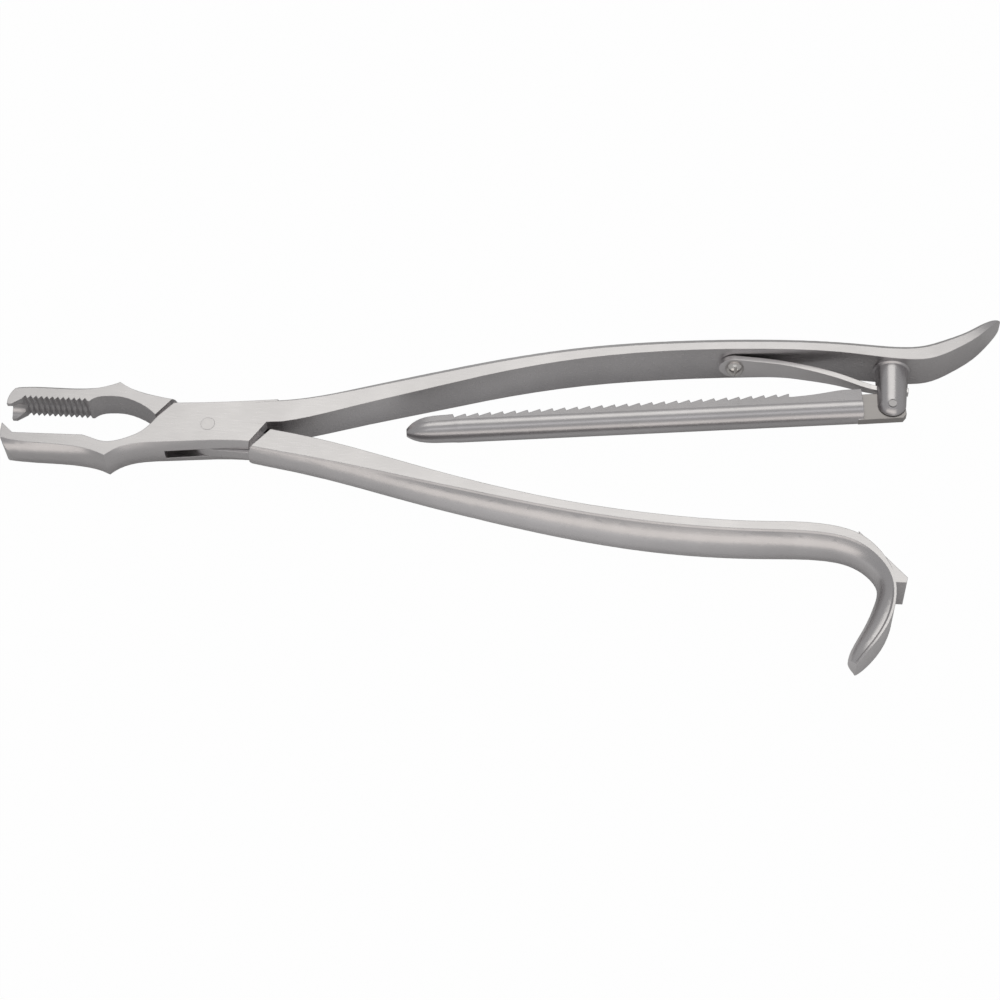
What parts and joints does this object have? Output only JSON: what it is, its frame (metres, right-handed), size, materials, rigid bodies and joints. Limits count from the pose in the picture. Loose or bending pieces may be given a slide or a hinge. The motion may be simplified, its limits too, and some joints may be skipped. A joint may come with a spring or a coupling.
{
  "type": "bone holding forceps",
  "caption": "Bone holding forceps with serrated pronged jaws, a box lock, curved handles, a fold-out toothed ratchet bar, a leaf spring and a hooked catch.",
  "frame": {"origin": "on the joint pin's axis, in the plane of the box lock's flat back face", "axes": "+X from the joint towards the handles along the instrument, +Y towards the handle that carries the ratchet bar (opening direction), +Z along the joint pin towards the front face"},
  "size_m": [0.216, 0.0876, 0.0114],
  "materials": {
    "satin_steel": "satin",
    "pin_steel": "satin",
    "spring_steel": "satin",
    "bright_steel": "satin"
  },
  "bodies": {
    "fixed_half": {"female_half": "satin_steel", "joint_pin": "pin_steel", "ratchet_post": "satin_steel", "ratchet_hinge_pin": "pin_steel", "leaf_spring": "spring_steel", "spring_screw": "bright_steel"},
    "moving_half": {"male_half": "satin_steel"},
    "ratchet": {"ratchet_bar": "satin_steel"}
  },
  "joints": [
    {"name": "box_lock_hinge", "type": "hinge", "parent": "fixed_half", "child": "moving_half", "pos_m": [0, 0, 0.004], "axis": [0, 0, -1], "range_deg": [-6.7, 33]},
    {"name": "ratchet_hinge", "type": "hinge", "parent": "fixed_half", "child": "ratchet", "pos_m": [0.1474, 0.0144, 0.004], "axis": [0, 0, 1], "range_deg": [0, 1.5]}
  ]
}
